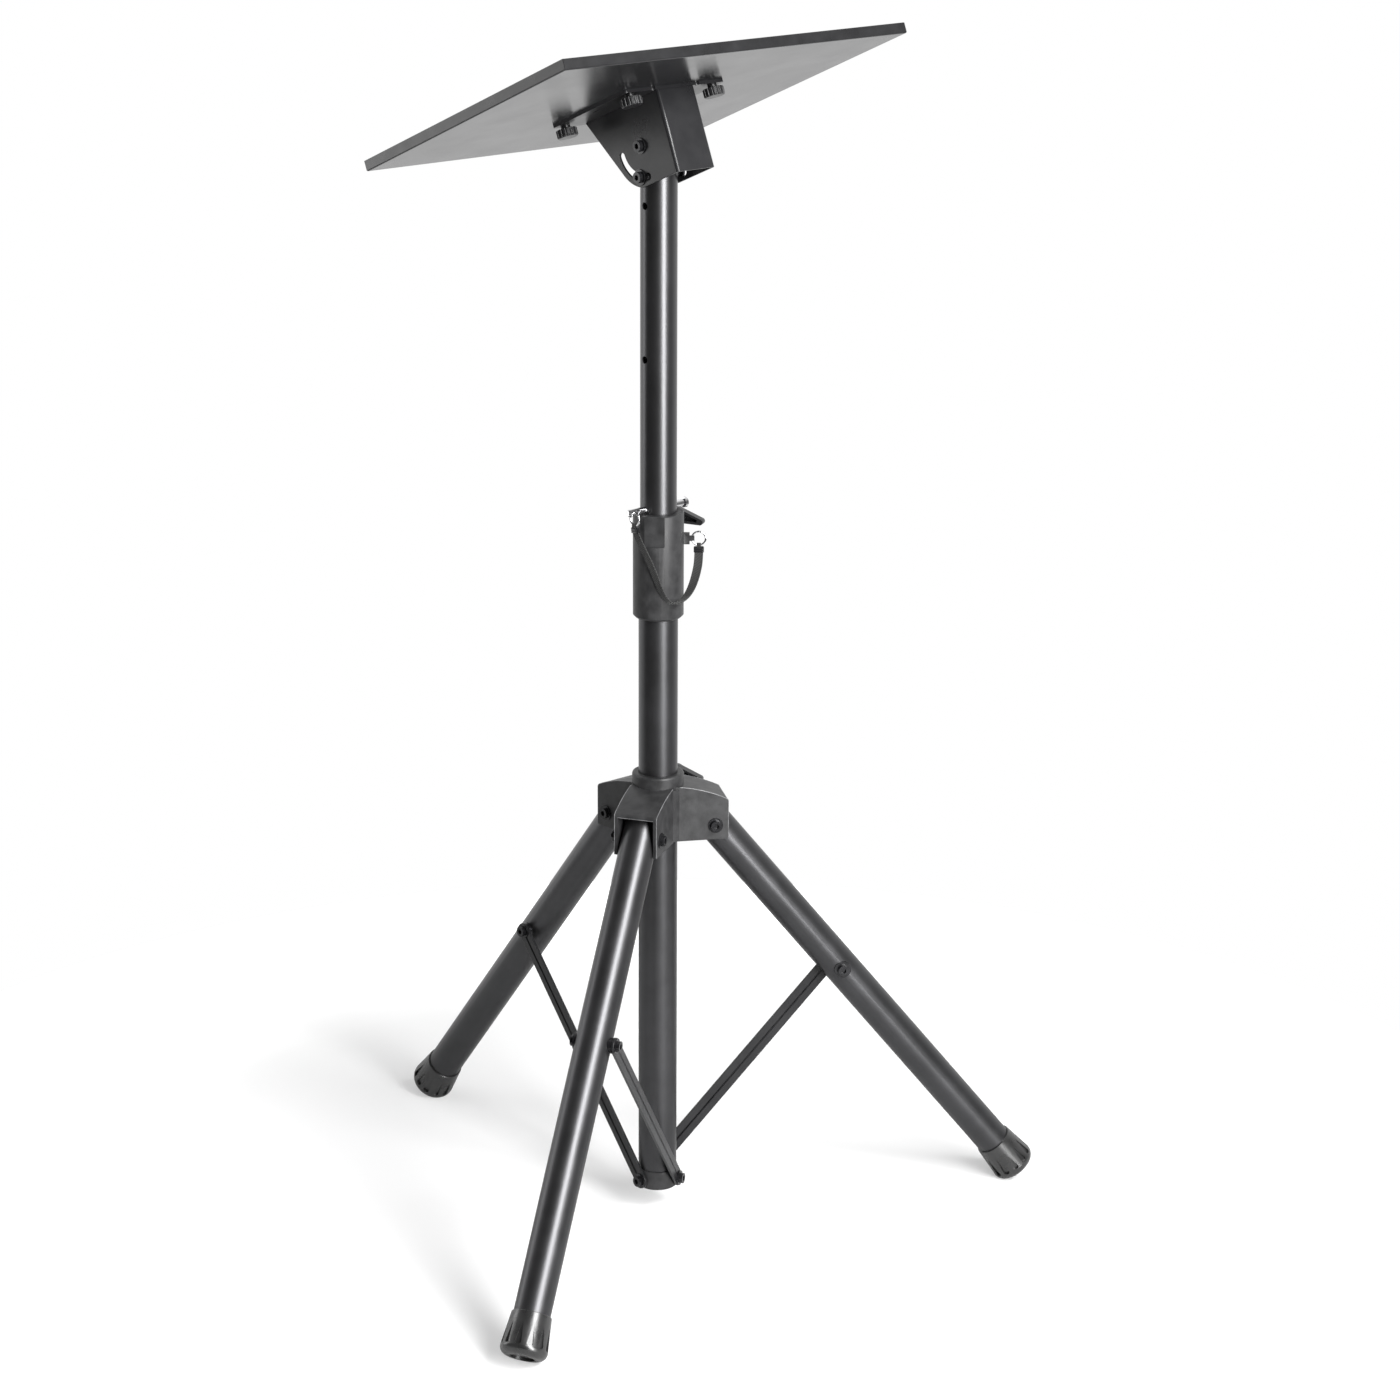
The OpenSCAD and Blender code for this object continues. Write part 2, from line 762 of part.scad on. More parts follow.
module wings_outline() {
    for (s = [-1, 1]) {
        mirror([s < 0 ? 1 : 0, 0]) {
            polygon([[0, -wing_root / 2], [wing_len - wing_tip / 2, -wing_tip / 2],
                [wing_len - wing_tip / 2, wing_tip / 2], [0, wing_root / 2]]);
            translate([wing_len - wing_tip / 2, 0]) circle(d = wing_tip);
        }
    }
    circle(d = wing_root);
}

module hollow_outline() {
    far = wing_len - wing_tip - clamp_screw_d / 2 - 4.5;
    polygon([[0, -wing_root / 2 + 4], [far, -wing_tip / 2 + 1.6], [far, wing_tip / 2 - 1.6],
        [0, wing_root / 2 - 4]]);
}

module collar_knob() {
    color("#1b1b1d")
    at_azimuth(knob_azimuth) translate([knob_reach, 0, collar_top - collar_knob_drop])
        rotate([0, 90, 0]) rotate([0, 0, 90])
            wing_knob(knob_reach - upper_tube_d / 2 - face_gap);
}

module hub_knob() {
    color("#1b1b1d")
    at_azimuth(knob_azimuth) translate([knob_reach, 0, hub_knob_z])
        rotate([0, 90, 0]) rotate([0, 0, 90])
            wing_knob(knob_reach - lower_tube_d / 2 - face_gap);
}

// Hub

module leg_hub() {
    color("#2c2d30")
    difference() {
        union() {
            translate([0, 0, hub_bottom + 1]) cylinder(r = core_r, h = roof_z - 4 - hub_bottom);
            translate([0, 0, roof_z - 6]) rotate_extrude() polygon([
                [0, 0], [hub_r, 0], [hub_r, ring_h + 4], [hub_r - 0.6, ring_h + 5.4],
                [hub_r - 2, ring_h + 6], [0, ring_h + 6]]);
            for (i = [0 : 2]) at_azimuth(leg_azimuth[i]) hub_arm();
            clamp_boss(hub_knob_z, hub_r, lower_tube_d / 2);
        }
        translate([0, 0, hub_bottom - eps]) cylinder(d = lower_tube_d + 2 * hub_gap,
            h = hub_top - hub_bottom + 2 * eps);
        for (i = [0 : 2]) at_azimuth(leg_azimuth[i]) hub_channel();
        clamp_hole(hub_knob_z);
    }
}

// Profile of an arm in the plane of X and Z, with a roof that curves down outward
module arm_profile(drop) {
    intersection() {
        translate([arm_w / 4, hub_bottom - (drop > 0 ? eps : 0)])
            square([arm_end - arm_w / 4 + (drop > 0 ? eps : 0), roof_z - hub_bottom + eps]);
        translate([0, roof_z - drop - roof_arc]) circle(r = roof_arc, $fn = 180);
    }
}

// What is cut from the upper corner of an arm's end to leave it round
module arm_nose() {
    mid = [arm_end - nose_r, nose_z];
    top = mid + nose_r * unit(mid - [0, roof_z - roof_arc]);
    difference() {
        polygon([mid, top, top + [0, nose_r], [arm_end + eps, top[1] + nose_r],
            [arm_end + eps, nose_z]]);
        translate(mid) circle(r = nose_r);
    }
}

module hub_arm() {
    translate([0, arm_w / 2, 0]) rotate([90, 0, 0]) linear_extrude(arm_w) difference() {
        arm_profile(0);
        arm_nose();
    }
}

// Channel for the leg, open below and at the end, with the bolt's hole through both walls
module hub_channel() {
    intersection() {
        translate([0, arm_in / 2, 0]) rotate([90, 0, 0]) linear_extrude(arm_in)
            arm_profile(roof_wall);
        translate([core_r + 0.8, -arm_w, hub_bottom - eps]) cube([arm_end, 2 * arm_w, 2 * roof_rise]);
    }
    translate([hub_bolt_r, -arm_w, leg_bolt_z]) sideways()
        cylinder(d = bolt_d + 2 * bolt_gap, h = 2 * arm_w);
}

module hub_bolts() {
    color("#3a3b3e")
    for (i = [0 : 2]) {
        at_azimuth(leg_azimuth[i]) translate([hub_bolt_r, 0, leg_bolt_z])
            mirror([0, head_side[i] < 0 ? 1 : 0, 0]) {
                translate([0, -arm_w / 2, 0]) sideways() cylinder(d = bolt_d, h = arm_w);
                translate([0, arm_w / 2, 0]) sideways() bolt_head();
                mirror([0, 1, 0]) translate([0, arm_w / 2, 0]) sideways() bolt_nut();
            }
    }
}

// Legs

module leg_tube(i) {
    color("#202124")
    at_leg(i) difference() {
        translate([0, 0, -leg_over_bolt])
            tube(leg_d, leg_d - 2 * leg_wall, leg_over_bolt + leg_len + foot_grip);
        for (z = [0, brace_at]) {
            translate([0, -leg_d, z]) sideways() cylinder(d = bolt_d + 2 * bolt_gap, h = 2 * leg_d);
        }
    }
}

module foot(i) {
    color("#1b1b1d")
    difference() {
        at_leg(i) difference() {
            translate([0, 0, leg_len]) foot_body();
            translate([0, 0, leg_len - eps]) cylinder(d = leg_d, h = foot_grip + eps);
            translate([0, 0, foot_end - 2]) cylinder(r = foot_recess_r, h = 2 + eps);
            for (k = [1 : foot_grooves]) {
                rotate([0, 0, k * 360 / foot_grooves]) groove();
            }
        }
        // Floor
        at_azimuth(leg_azimuth[i]) translate([0, -foot_r * 2, -50]) cube([1000, foot_r * 4, 50]);
    }
}

module foot_body() {
    mouth = leg_d / 2 + foot_wall;
    rotate_extrude() {
        polygon([[0, 0], [mouth - 0.5, 0], [mouth, 0.5], [foot_r, foot_len - foot_round],
            [foot_r - foot_round, foot_len - foot_round], [foot_r - foot_round, foot_len], [0, foot_len]]);
        intersection() {
            translate([foot_r - foot_round, foot_len - foot_round]) circle(r = foot_round);
            translate([foot_r - foot_round, foot_len - foot_round]) square(foot_round);
        }
    }
}

// Groove that starts as a point and widens to where the foot's end begins to round
module groove() {
    start = 8;
    end = foot_len - foot_round - 1;
    translate([foot_r - groove_depth - 1.1, 0, leg_len])
        rotate([90, 0, 90]) linear_extrude(6)
            polygon([[0, start], [groove_w / 2, end - 1.5], [groove_w / 2 - 1.5, end],
                [1.5 - groove_w / 2, end], [-groove_w / 2, end - 1.5]]);
}

// Bolt across a leg with a spacer that keeps the brace off the round tube
module leg_bolt(i) {
    color("#3a3b3e")
    at_leg(i) translate([0, 0, brace_at]) {
        translate([0, -leg_d / 2 - 2, 0]) sideways() cylinder(d = bolt_d, h = leg_d + 4);
        difference() {
            sideways() cylinder(d = washer_d, h = brace_in - face_gap);
            leg_round();
        }
        difference() {
            mirror([0, 1, 0]) sideways() union() {
                cylinder(d = washer_d + 2, h = leg_d / 2 + 1);
                translate([0, 0, leg_d / 2 + 1]) socket_head();
            }
            leg_round();
        }
    }
}

module leg_round() {
    translate([0, 0, -20]) cylinder(d = leg_d, h = 40);
}

// Braces

module brace(i) {
    color("#2a2b2e")
    at_brace(i) translate([0, brace_out, 0]) rotate([90, 0, 0]) linear_extrude(brace_t)
        difference() {
            bar_outline(brace_len, brace_w);
            for (x = [0, brace_len]) translate([x, 0]) circle(d = bolt_d + 2 * bolt_gap);
        }
}

// Nut and stub that fill the brace's upper hole and turn with the brace
module brace_nut(i) {
    color("#3a3b3e")
    at_brace(i) translate([brace_len, brace_in, 0]) sideways() {
        cylinder(d = bolt_d, h = brace_t);
        translate([0, 0, brace_t]) bolt_head();
    }
}

// Parts

lower_tube();
height_collar();
base_cap();
base_bolts();
strap_ring();
pin_strap();
upper_tube();
lock_pin();
pin_ring();
tilt_bolts();
tilt_bracket();
mount_plate();
tray();
thumb_screw(0);  // thumb_screw_1
thumb_screw(1);  // thumb_screw_2
thumb_screw(2);  // thumb_screw_3
thumb_screw(3);  // thumb_screw_4
collar_knob();
hub_knob();
leg_hub();
hub_bolts();
leg_tube(0);  // leg_tube_a
leg_tube(1);  // leg_tube_b
leg_tube(2);  // leg_tube_c
foot(0);  // foot_a
foot(1);  // foot_b
foot(2);  // foot_c
leg_bolt(0);  // leg_bolt_a
leg_bolt(1);  // leg_bolt_b
leg_bolt(2);  // leg_bolt_c
brace(0);  // brace_a
brace(1);  // brace_b
brace(2);  // brace_c
brace_nut(0);  // brace_nut_a
brace_nut(1);  // brace_nut_b
brace_nut(2);  // brace_nut_c
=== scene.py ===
# Black folding tripod stand with a tilting tray, dressed over its CAD frame.
# Lengths are in metres. +Z is up, +X runs along the tray's tilt bolt, and the tray's
# raised front edge faces -Y.
import json
import math

import bpy
import bmesh
from mathutils import Matrix, Vector


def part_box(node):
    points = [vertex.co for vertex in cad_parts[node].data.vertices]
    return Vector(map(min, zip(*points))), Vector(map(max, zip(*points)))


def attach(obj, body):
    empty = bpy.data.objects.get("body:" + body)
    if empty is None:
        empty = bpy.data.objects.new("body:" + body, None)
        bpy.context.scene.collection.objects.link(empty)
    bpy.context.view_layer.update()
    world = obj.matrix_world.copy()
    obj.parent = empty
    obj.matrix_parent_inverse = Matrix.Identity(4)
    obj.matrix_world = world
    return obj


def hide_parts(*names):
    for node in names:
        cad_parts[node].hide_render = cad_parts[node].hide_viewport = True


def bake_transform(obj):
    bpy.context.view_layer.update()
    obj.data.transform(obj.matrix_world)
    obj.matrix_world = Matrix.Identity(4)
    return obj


MM = 0.001
UP = Vector((0, 0, 1))

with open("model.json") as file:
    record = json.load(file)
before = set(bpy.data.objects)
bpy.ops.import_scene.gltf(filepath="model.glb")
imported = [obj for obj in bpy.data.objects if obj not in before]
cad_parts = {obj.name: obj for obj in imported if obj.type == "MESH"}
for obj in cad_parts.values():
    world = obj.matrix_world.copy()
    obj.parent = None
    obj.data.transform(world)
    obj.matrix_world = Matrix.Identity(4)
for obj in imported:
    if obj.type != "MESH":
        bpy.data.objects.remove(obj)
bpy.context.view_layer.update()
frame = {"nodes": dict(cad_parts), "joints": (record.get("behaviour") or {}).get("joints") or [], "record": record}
NODES = frame["nodes"]
JOINTS = {joint["name"]: joint for joint in frame["joints"]}

# The camera as it stood for the photograph: heading turns from +Y, pitch is below level
CAMERA_HEADING = math.radians(-41.41)
CAMERA_PITCH = math.radians(-17.25)
CAMERA_ROLL = math.radians(0.29)
CAMERA_PLACE = Vector((-2.2298, -2.5895, 1.5930))
CAMERA_LENS = 95.16
CAMERA_SENSOR = 36.0
CAMERA_REACH = 50.0

# Direction from the stand to the camera, in the plane of the floor
FRONT = math.radians(-130.7)

# The head turns on its tilt bolt. A turn by the joint's lower limit levels the tray, so the
# tilt at rest, about +X, has that limit's own size and sign.
TILT_BOLT = Vector(JOINTS["head_tilt"]["pos_m"])
HEAD_TILT = math.radians(JOINTS["head_tilt"]["range_deg"][0])

# The lock pin lies across the mast, just above the collar
PIN_R = 3.5 * MM
PIN_GAP = 0.3 * MM
PIN_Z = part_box("height_collar")[1][2] + PIN_R + PIN_GAP

# Wire of the rings that hold the strap
WIRE_R = 0.9 * MM

# The strap's middle line: azimuth, radius from the column, depth below the pin, and turn of
# the webbing about its length. A turn of 0 lies flat to the collar and 90 stands out from it.
STRAP_ROUTE = [
    (-41, 38.6, 38.2, 90), (-41, 38.6, 43, 90), (-42, 38.4, 49, 90), (-44, 37.9, 55.5, 90),
    (-48, 36.8, 62, 88), (-54, 35.4, 69, 86), (-62, 33.8, 76, 84), (-72, 32.2, 82, 82),
    (-84, 31, 86, 80), (-97, 30.4, 88, 78), (-109, 30, 86.5, 72), (-119, 29.6, 81, 64),
    (-127, 29.2, 73, 54), (-134, 28.8, 64, 44), (-141, 28.6, 55, 36), (-149, 28.6, 46, 30),
    (-157, 28.8, 38, 24), (-165, 29, 31, 16), (-172.5, 29.2, 24.5, 8), (-178.5, 29.4, 18.8, 2),
    (-180, 29.5, 14.5, 0),
]
STEPS_PER_POINT = 6
STRAP_WIDTH = 8.4 * MM
STRAP_THICK = 1.4 * MM

# Pressed bands on the strap's ends: length, how far they stand round the webbing, and how far
# they sit back from its end
CRIMP_LENGTH = 5.2 * MM
CRIMP_PROUD = 0.7 * MM
CRIMP_SET_BACK = 0.6 * MM

# Folds of webbing round the rings: radii about the wire, half width, and the two tails that
# hang side by side into the crimp
LOOP_INNER_R = 1.25 * MM
LOOP_OUTER_R = 2.15 * MM
LOOP_HALF_W = 1.9 * MM
LOOP_DROP = 2.3 * MM
LOOP_TAIL_OUT = 1.15 * MM
LOOP_SLIT = 0.25 * MM
LOOP_THROAT = 1.1 * MM

# Threads of the clamp screws, between the end of each boss and its knob, measured out from
# the column's axis. The root of the thread sinks into the screw, and its crest stands proud.
CLAMP_SCREW_R = 4.0 * MM
COLLAR_BOSS_END = 38.6 * MM
HUB_BOSS_END = 39.5 * MM
KNOB_START = 46.8 * MM
THREAD_PITCH = 1.25 * MM
THREAD_DEPTH = 0.45 * MM
THREAD_CREST = 0.55
THREAD_SINK = 0.1 * MM
THREAD_STEPS = 24

# Edge bands of the tray: how far they stand proud of the board and sink into it, the board
# that they leave bare above and below, their joint at the corners, and their rounded edges
BAND_PROUD = 0.25 * MM
BAND_SINK = 0.6 * MM
BAND_ABOVE_LOW = 0.7 * MM
BAND_BELOW_TOP = 0.35 * MM
BAND_JOINT = 0.2 * MM
BAND_EDGE = 0.3 * MM

# The hub's arms. Arm c points along +Y, so the hub's box gives their reach. The hub's ring
# rises above their roofs. Each roof is an arc that falls towards the arm's end, which is
# rounded by a nose, and the arm's cheeks leave a channel between them.
HUB_LOW, HUB_TOP = (corner[2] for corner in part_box("leg_hub"))
ARM_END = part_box("leg_hub")[1][1]
ARM_HALF_W = 21.5 * MM
CHEEK_WALL = 3.4 * MM
ROOF_WALL = 3.0 * MM
ROOF_FALL = 16.0 * MM
RING_RISE = 10.0 * MM
ROOF_Z = HUB_TOP - RING_RISE
ROOF_ARC = (ARM_END ** 2 + ROOF_FALL ** 2) / (2 * ROOF_FALL)
ARC_MID_Z = ROOF_Z - ROOF_ARC
NOSE_R = 4.0 * MM
NOSE_Z = ARC_MID_Z + math.sqrt((ROOF_ARC - NOSE_R) ** 2 - (ARM_END - NOSE_R) ** 2)
CHANNEL_TOP = ROOF_Z - ROOF_WALL - ROOF_FALL
CHANNEL_HALF_W = ARM_HALF_W - CHEEK_WALL

# Raised lip along the edges of the arms: its own radius, how deep its middle lies in the hub,
# where it leaves the hub's ring, and how far it stays above the hub's lower edge
LIP_R = 0.42 * MM
LIP_SINK = 0.22 * MM
LIP_SIDES = 8
LIP_START_R = 18.0 * MM
LIP_SHORT = 0.8 * MM
ROOF_STEPS = 14
NOSE_STEPS = 5


# Helpers


def piece_from(shape, name, body, material, smooth_angle):
    """Makes an object from a bmesh, shades it, and lets it ride on a body."""
    mesh = bpy.data.meshes.new(name)
    bmesh.ops.recalc_face_normals(shape, faces=shape.faces)
    shape.to_mesh(mesh)
    shape.free()
    for polygon in mesh.polygons:
        polygon.use_smooth = True
    mesh.set_sharp_from_angle(angle=math.radians(smooth_angle))
    mesh.materials.append(material)
    obj = bpy.data.objects.new(name, mesh)
    bpy.context.scene.collection.objects.link(obj)
    if body:
        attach(obj, body)
    return obj


def sweep(rings):
    """A bmesh that joins rings of points into one tube of quads, with a cap at each end."""
    shape = bmesh.new()
    rows = [[shape.verts.new(point) for point in ring] for ring in rings]
    count = len(rows[0])
    for a, b in zip(rows, rows[1:]):
        for k in range(count):
            j = (k + 1) % count
            shape.faces.new((a[k], a[j], b[j], b[k]))
    shape.faces.new(list(reversed(rows[0])))
    shape.faces.new(rows[-1])
    return shape


def around(azimuth, radius, z):
    """A point at an azimuth, radius and height about the column's axis."""
    return Vector((radius * math.cos(azimuth), radius * math.sin(azimuth), z))


def beside(direction):
    """Level direction a quarter turn to the left of a level direction."""
    return Vector((-direction.y, direction.x, 0.0))


def head_place():
    """From the head's own level frame, with its origin on the tilt bolt, to the stand's."""
    return Matrix.Translation(TILT_BOLT) @ Matrix.Rotation(HEAD_TILT, 4, "X")


def head_box(node):
    """Lowest and highest corners of a node in the head's own level frame."""
    back = head_place().inverted()
    spots = [back @ vertex.co for vertex in NODES[node].data.vertices]
    return [Vector([pick(spot[i] for spot in spots) for i in range(3)]) for pick in (min, max)]


def ring_low_spot(node):
    """Middle of the wire at the lowest point of a hanging ring."""
    low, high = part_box(node)
    return Vector(((low[0] + high[0]) / 2, (low[1] + high[1]) / 2, low[2] + WIRE_R))


# Shader parts

def group_socket(group, name, kind, way, value=None):
    """Adds a named socket to a shader group, with its starting value if it is an input."""
    socket = group.interface.new_socket(name=name, in_out=way, socket_type=kind)
    if value is not None:
        socket.default_value = value


def make_coat_texture():
    """Skin of a coated or moulded surface: a fine height, and a slow mottle that runs 0 to 1."""
    group = bpy.data.node_groups.new("coat_texture", "ShaderNodeTree")
    group_socket(group, "Grain per metre", "NodeSocketFloat", "INPUT", 1500.0)
    group_socket(group, "Mottle per metre", "NodeSocketFloat", "INPUT", 40.0)
    group_socket(group, "Height", "NodeSocketFloat", "OUTPUT")
    group_socket(group, "Mottle", "NodeSocketFloat", "OUTPUT")
    nodes, links = group.nodes, group.links
    given = nodes.new("NodeGroupInput")
    result = nodes.new("NodeGroupOutput")
    place = nodes.new("ShaderNodeTexCoord")
    grain = nodes.new("ShaderNodeTexNoise")
    grain.inputs["Detail"].default_value = 3.0
    grain.inputs["Roughness"].default_value = 0.6
    mottle = nodes.new("ShaderNodeTexNoise")
    mottle.inputs["Detail"].default_value = 5.0
    mottle.inputs["Roughness"].default_value = 0.55
    even = nodes.new("ShaderNodeMapRange")
    even.inputs["From Min"].default_value = 0.3
    even.inputs["From Max"].default_value = 0.7
    links.new(place.outputs["Object"], grain.inputs["Vector"])
    links.new(place.outputs["Object"], mottle.inputs["Vector"])
    links.new(given.outputs["Grain per metre"], grain.inputs["Scale"])
    links.new(given.outputs["Mottle per metre"], mottle.inputs["Scale"])
    links.new(grain.outputs["Fac"], result.inputs["Height"])
    links.new(mottle.outputs["Fac"], even.inputs["Value"])
    links.new(even.outputs["Result"], result.inputs["Mottle"])
    return group


COAT_TEXTURE = make_coat_texture()


def colour_mix(nodes, links, mask, a, b):
    """Output that runs from colour a to colour b as the mask runs from 0 to 1."""
    mix = nodes.new("ShaderNodeMix")
    mix.data_type = "RGBA"
    sockets = [s for s in mix.inputs if s.type == "RGBA"]
    sockets[0].default_value = (*a, 1.0)
    sockets[1].default_value = (*b, 1.0)
    links.new(mask, mix.inputs["Factor"])
    return [s for s in mix.outputs if s.type == "RGBA"][0]


def value_mix(nodes, links, mask, a, b):
    """Output that runs from value a to value b as the mask runs from 0 to 1."""
    spread = nodes.new("ShaderNodeMapRange")
    spread.inputs["To Min"].default_value = a
    spread.inputs["To Max"].default_value = b
    links.new(mask, spread.inputs["Value"])
    return spread.outputs["Result"]


def relief_on(nodes, links, shader, height, strength, depth):
    """Lets a height shape the shader's normal."""
    relief = nodes.new("ShaderNodeBump")
    relief.inputs["Strength"].default_value = strength
    relief.inputs["Distance"].default_value = depth
    links.new(height, relief.inputs["Height"])
    links.new(relief.outputs["Normal"], shader.inputs["Normal"])


def coated_material(name, dark, light, rough, grain, mottle, bump, metallic=0.0, specular=0.5):
    """Coated or moulded finish whose colour and gloss vary slowly and whose skin has a grain."""
    material = bpy.data.materials.new(name)
    material.use_nodes = True
    nodes, links = material.node_tree.nodes, material.node_tree.links
    shader = nodes["Principled BSDF"]
    shader.inputs["Metallic"].default_value = metallic
    shader.inputs["Specular IOR Level"].default_value = specular
    texture = nodes.new("ShaderNodeGroup")
    texture.node_tree = COAT_TEXTURE
    texture.inputs["Grain per metre"].default_value = grain
    texture.inputs["Mottle per metre"].default_value = mottle
    mask = texture.outputs["Mottle"]
    links.new(colour_mix(nodes, links, mask, dark, light), shader.inputs["Base Color"])
    links.new(value_mix(nodes, links, mask, *rough), shader.inputs["Roughness"])
    relief_on(nodes, links, shader, texture.outputs["Height"], bump, 0.2 * MM)
    return material


# Finishes

def gloss_tube():
    """Upper tube: smooth coat with a wide bright highlight."""
    return coated_material("gloss_tube", dark=(0.072, 0.072, 0.074), light=(0.082, 0.082, 0.085),
                           rough=(0.31, 0.35), grain=900, mottle=25, bump=0.05, metallic=0.92)


def black_tube():
    """Lower tube and legs: the same coat, a little duller and finer in grain."""
    return coated_material("black_tube", dark=(0.060, 0.060, 0.062), light=(0.072, 0.072, 0.075),
                           rough=(0.34, 0.39), grain=1400, mottle=30, bump=0.08, metallic=0.90)


def black_plastic():
    """Moulded hub, collar and base cap: dull, mottled and grained."""
    return coated_material("black_plastic", dark=(0.016, 0.016, 0.0165),
                           light=(0.032, 0.032, 0.033), rough=(0.36, 0.50), grain=1100,
                           mottle=90, bump=0.25, specular=0.3)


def black_sheet():
    """Powder-coated sheet of the bracket, the mount plate and the braces."""
    return coated_material("black_sheet", dark=(0.010, 0.010, 0.011), light=(0.015, 0.015, 0.016),
                           rough=(0.27, 0.34), grain=1200, mottle=30, bump=0.08, specular=0.35)


def tray_board():
    """Smooth laminate of the tray."""
    return coated_material("tray_board", dark=(0.012, 0.012, 0.013), light=(0.016, 0.016, 0.017),
                           rough=(0.20, 0.25), grain=1300, mottle=20, bump=0.04, specular=0.75)


def tray_edge_painted_shade():
    """Edge band of the tray, its colour painted darker than the board's as shade on the tray's sides."""
    return coated_material("tray_edge_painted_shade", dark=(0.007, 0.007, 0.0075), light=(0.011, 0.011, 0.012),
                           rough=(0.26, 0.32), grain=1200, mottle=60, bump=0.06)


def knob_plastic():
    """Hard plastic of the knobs and thumb screws."""
    return coated_material("knob_plastic", dark=(0.008, 0.008, 0.0085),
                           light=(0.014, 0.014, 0.015), rough=(0.30, 0.42), grain=1200,
                           mottle=60, bump=0.10)


def rubber():
    """Shiny rubber of the feet."""
    return coated_material("rubber", dark=(0.009, 0.009, 0.009), light=(0.016, 0.016, 0.016),
                           rough=(0.24, 0.34), grain=900, mottle=70, bump=0.12, specular=0.8)


def black_steel():
    """Blackened steel of the bolts, nuts and crimps."""
    return coated_material("black_steel", dark=(0.012, 0.012, 0.013), light=(0.022, 0.022, 0.024),
                           rough=(0.18, 0.26), grain=1500, mottle=120, bump=0.08, metallic=0.5,
                           specular=0.6)


def bright_metal():
    """Plated steel of the pin, the rings and the screw threads."""
    return coated_material("bright_metal", dark=(0.72, 0.72, 0.73), light=(0.82, 0.82, 0.83),
                           rough=(0.10, 0.20), grain=1200, mottle=80, bump=0.03, metallic=1.0)


def painted_edge_highlight():
    """Hub's plastic on its edge lips, painted lighter as a highlight along the edges."""
    return coated_material("painted_edge_highlight", dark=(0.07, 0.07, 0.072), light=(0.16, 0.16, 0.165),
                           rough=(0.26, 0.40), grain=900, mottle=160, bump=0.05)


def webbing():
    """Woven tape: slanted ribs along the strap's own map, whose unit is the millimetre."""
    material = bpy.data.materials.new("webbing")
    material.use_nodes = True
    nodes, links = material.node_tree.nodes, material.node_tree.links
    shader = nodes["Principled BSDF"]
    shader.inputs["Roughness"].default_value = 0.8
    shader.inputs["Sheen Weight"].default_value = 0.12
    shader.inputs["Sheen Roughness"].default_value = 0.5
    place = nodes.new("ShaderNodeTexCoord")
    ribs = nodes.new("ShaderNodeTexWave")
    ribs.wave_type = "BANDS"
    ribs.bands_direction = "DIAGONAL"
    ribs.inputs["Scale"].default_value = 0.22
    ribs.inputs["Distortion"].default_value = 0.8
    weave = ribs.outputs["Fac"]
    links.new(place.outputs["UV"], ribs.inputs["Vector"])
    links.new(colour_mix(nodes, links, weave, (0.004, 0.004, 0.004), (0.018, 0.018, 0.0175)),
              shader.inputs["Base Color"])
    relief_on(nodes, links, shader, weave, 0.8, 0.25 * MM)
    return material


def make_materials():
    """Every finish on the stand, by name. All but the hub's painted edge highlight and the tray's edge band with
    painted shade are the record's slots.
    """
    finishes = (gloss_tube, black_tube, black_plastic, black_sheet, tray_board, tray_edge_painted_shade,
                knob_plastic, rubber, black_steel, bright_metal, painted_edge_highlight, webbing)
    return {finish.__name__: finish() for finish in finishes}


# CAD nodes

# Width in millimetres of the break along the sharp edges of a node
EDGE_BREAKS = {
    "height_collar": 0.4, "tilt_bracket": 0.35, "mount_plate": 0.35,
    "brace_a": 0.35, "brace_b": 0.35, "brace_c": 0.35, "base_cap": 0.35,
    "collar_knob": 0.5, "hub_knob": 0.5,
}


def soften_edges(obj, width):
    """Breaks the sharp edges of a CAD node by modifiers, and leaves its own mesh alone."""
    weld = obj.modifiers.new("weld", "WELD")
    weld.merge_threshold = 0.001 * MM
    bevel = obj.modifiers.new("edge_break", "BEVEL")
    bevel.width = width
    bevel.segments = 2
    bevel.limit_method = "ANGLE"
    bevel.angle_limit = math.radians(40)
    bevel.harden_normals = True


def dress_nodes(materials):
    """Gives each CAD node the finish of its slot, and breaks the edges of some."""
    slots = {part["node"]: part["material_slot"] for part in frame["record"]["subparts"]}
    for name, obj in NODES.items():
        obj.data.materials.clear()
        obj.data.materials.append(materials[slots[name]])
        if name in EDGE_BREAKS:
            soften_edges(obj, EDGE_BREAKS[name] * MM)


# Webbing strap

def smooth_route(points, steps):
    """Points of a Catmull-Rom curve through the route's own points, evenly stepped between."""
    out = []
    last = len(points) - 1
    for i in range(last):
        before, start = points[max(i - 1, 0)], points[i]
        end, after = points[i + 1], points[min(i + 2, last)]
        for k in range(steps):
            t = k / steps
            out.append(tuple(0.5 * (2 * b + (c - a) * t + (2 * a - 5 * b + 4 * c - d) * t * t
                                    + (3 * b - a - 3 * c + d) * t ** 3)
                             for a, b, c, d in zip(before, start, end, after)))
    out.append(tuple(points[-1]))
    return out


def strap_stations():
    """Middle, width direction, face direction and way ahead at each station on the strap."""
    route = smooth_route(STRAP_ROUTE, STEPS_PER_POINT)
    spots = [around(math.radians(azimuth), radius * MM, PIN_Z - depth * MM)
             for azimuth, radius, depth, _ in route]
    stations = []
    for i, (azimuth, _, _, turn) in enumerate(route):
        ahead = (spots[min(i + 1, len(spots) - 1)] - spots[max(i - 1, 0)]).normalized()
        flat = ahead.cross(around(math.radians(azimuth), 1.0, 0.0)).normalized()
        face = flat.cross(ahead)
        swing = math.radians(turn)
        width = (flat * math.cos(swing) + face * math.sin(swing)).normalized()
        stations.append((spots[i], width, ahead.cross(width).normalized(), ahead))
    return stations


